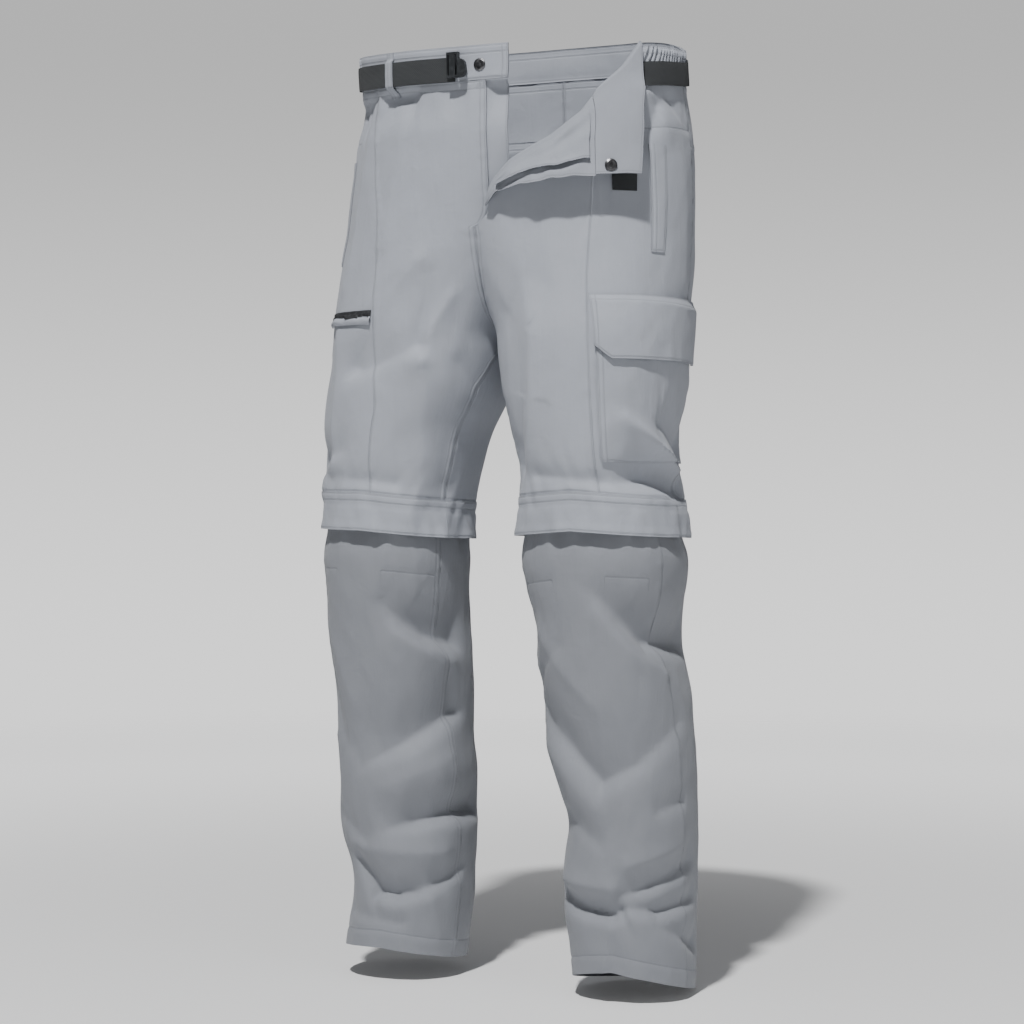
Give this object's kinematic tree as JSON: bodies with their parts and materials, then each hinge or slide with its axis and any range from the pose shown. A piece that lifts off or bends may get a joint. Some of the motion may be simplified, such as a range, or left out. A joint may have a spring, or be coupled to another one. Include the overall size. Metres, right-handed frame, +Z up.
{
  "type": "convertible zip-off trousers",
  "caption": "Full-length trousers with zip-off lower legs, webbing belt, cargo pocket and an open fly with one front corner folded out.",
  "frame": {"origin": "centre of the waist opening, at the height of the waist's sides", "axes": "+Z up, -Y to the front, +X to the wearer's left"},
  "size_m": [0.4266, 0.2811, 1.0562],
  "materials": {
    "shell_fabric": "matte woven nylon",
    "inner_fabric": "matte woven nylon, inner face",
    "webbing": "ribbed webbing",
    "buckle": "moulded",
    "snap_metal": "dark oxide",
    "zip": "woven tape and coil"
  },
  "bodies": {
    "trousers": {"back_left": "shell_fabric", "back_right": "shell_fabric", "belt": "webbing", "belt_buckle": "buckle", "belt_loop_back_left": "shell_fabric", "belt_loop_back_right": "shell_fabric", "belt_loop_front_right": "shell_fabric", "belt_tail": "webbing", "cargo_flap_left": "shell_fabric", "cargo_pocket_left": "shell_fabric", "fly_facing_left": "inner_fabric", "fly_underlap_right": "shell_fabric", "front_corner_left": "inner_fabric", "front_left": "shell_fabric", "front_right": "shell_fabric", "hand_pocket_welt_left": "shell_fabric", "hand_pocket_welt_right": "shell_fabric", "knee_flap_back_left": "shell_fabric", "knee_flap_back_right": "shell_fabric", "knee_flap_front_left": "shell_fabric", "knee_flap_front_right": "shell_fabric", "knee_zip_left": "zip", "knee_zip_right": "zip", "lower_back_left": "shell_fabric", "lower_back_right": "shell_fabric", "lower_front_left": "shell_fabric", "lower_front_right": "shell_fabric", "side_left": "shell_fabric", "side_right": "shell_fabric", "snap_socket_left": "snap_metal", "snap_stud_right": "snap_metal", "thigh_zip_slider": "zip", "thigh_zip_tape": "zip", "waistband_back": "shell_fabric", "waistband_elastic_left": "shell_fabric", "waistband_elastic_right": "shell_fabric", "waistband_front_left": "inner_fabric", "waistband_front_right": "shell_fabric", "yoke_left": "shell_fabric", "yoke_right": "shell_fabric"},
    "zip_pull": {"thigh_zip_pull": "zip"}
  },
  "joints": [
    {"name": "zip_pull_swing", "type": "hinge", "parent": "trousers", "child": "zip_pull", "pos_m": [-0.13691, -0.12276, -0.29704], "axis": [0.0563, 0.1594, 0.9856], "range_deg": [0, 150]}
  ]
}
